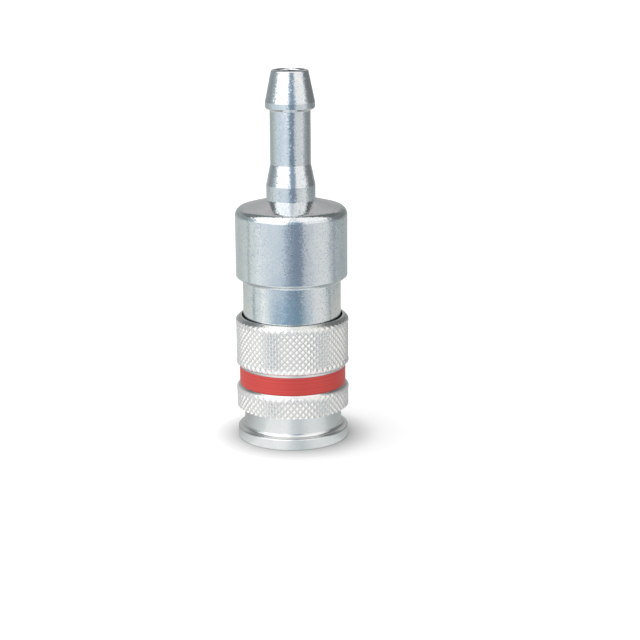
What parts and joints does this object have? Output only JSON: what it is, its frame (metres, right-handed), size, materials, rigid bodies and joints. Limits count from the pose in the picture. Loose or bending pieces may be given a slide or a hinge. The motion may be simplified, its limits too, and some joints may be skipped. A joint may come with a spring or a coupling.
{
  "type": "quick coupling",
  "caption": "Compressed-air quick coupling socket with a knurled pull-back sleeve, a red marking ring, locking balls, a shut-off valve and a barbed hose tail.",
  "frame": {"origin": "centre of the mouth's face, on the axis, where the coupling stands", "axes": "+Z along the axis from the mouth that takes the plug towards the hose tail; the first locking ball lies on +X"},
  "size_m": [0.0254, 0.0254, 0.083],
  "materials": {
    "zinc_plated_steel": "turned steel, bright zinc plated, slightly mottled",
    "knurled_steel": "turned and diamond-knurled steel, bright zinc plated",
    "red_marking": "semi-matte red with fine turning lines",
    "ball_steel": "polished hardened steel",
    "spring_steel": "drawn spring wire",
    "brass": "turned brass",
    "seal_rubber": "matte black rubber"
  },
  "bodies": {
    "coupling_body": {"rear_body": "zinc_plated_steel", "nose_body": "zinc_plated_steel", "body_o_ring": "seal_rubber", "plug_seal": "seal_rubber", "seal_retainer": "brass", "valve_guide": "brass", "sleeve_snap_ring": "spring_steel", "sleeve_spring": "spring_steel", "valve_spring": "spring_steel"},
    "spring_seat": {"spring_seat_washer": "zinc_plated_steel"},
    "sleeve": {"sleeve": "knurled_steel", "marking_ring": "red_marking"},
    "ball_1": {"lock_ball_1": "ball_steel"},
    "ball_2": {"lock_ball_2": "ball_steel"},
    "ball_3": {"lock_ball_3": "ball_steel"},
    "ball_4": {"lock_ball_4": "ball_steel"},
    "ball_5": {"lock_ball_5": "ball_steel"},
    "ball_6": {"lock_ball_6": "ball_steel"},
    "valve": {"valve_poppet": "brass", "valve_seal": "seal_rubber"}
  },
  "joints": [
    {"name": "sleeve_lift", "type": "slide", "parent": "coupling_body", "child": "spring_seat", "axis": [0, 0, 1], "range_m": [0, 0.004], "stiffness_N_per_m": 1500, "springref_m": -0.004, "deforming": ["sleeve_spring"]},
    {"name": "sleeve_spin", "type": "hinge", "parent": "spring_seat", "child": "sleeve", "pos_m": [0, 0, 0.014], "axis": [0, 0, 1], "continuous": true},
    {"name": "ball_1_slide", "type": "slide", "parent": "coupling_body", "child": "ball_1", "axis": [1, 0, 0], "range_m": [0, 0.0011]},
    {"name": "ball_2_slide", "type": "slide", "parent": "coupling_body", "child": "ball_2", "axis": [0.5, 0.866, 0], "range_m": [0, 0.0011]},
    {"name": "ball_3_slide", "type": "slide", "parent": "coupling_body", "child": "ball_3", "axis": [-0.5, 0.866, 0], "range_m": [0, 0.0011]},
    {"name": "ball_4_slide", "type": "slide", "parent": "coupling_body", "child": "ball_4", "axis": [-1, 0, 0], "range_m": [0, 0.0011]},
    {"name": "ball_5_slide", "type": "slide", "parent": "coupling_body", "child": "ball_5", "axis": [-0.5, -0.866, 0], "range_m": [0, 0.0011]},
    {"name": "ball_6_slide", "type": "slide", "parent": "coupling_body", "child": "ball_6", "axis": [0.5, -0.866, 0], "range_m": [0, 0.0011]},
    {"name": "valve_lift", "type": "slide", "parent": "coupling_body", "child": "valve", "axis": [0, 0, 1], "range_m": [0, 0.0045], "stiffness_N_per_m": 500, "springref_m": -0.004, "deforming": ["valve_spring"]}
  ],
  "couplings": [
    {"joint": "ball_1_slide", "follows": "sleeve_lift", "ratio": 0.275},
    {"joint": "ball_2_slide", "follows": "sleeve_lift", "ratio": 0.275},
    {"joint": "ball_3_slide", "follows": "sleeve_lift", "ratio": 0.275},
    {"joint": "ball_4_slide", "follows": "sleeve_lift", "ratio": 0.275},
    {"joint": "ball_5_slide", "follows": "sleeve_lift", "ratio": 0.275},
    {"joint": "ball_6_slide", "follows": "sleeve_lift", "ratio": 0.275}
  ]
}
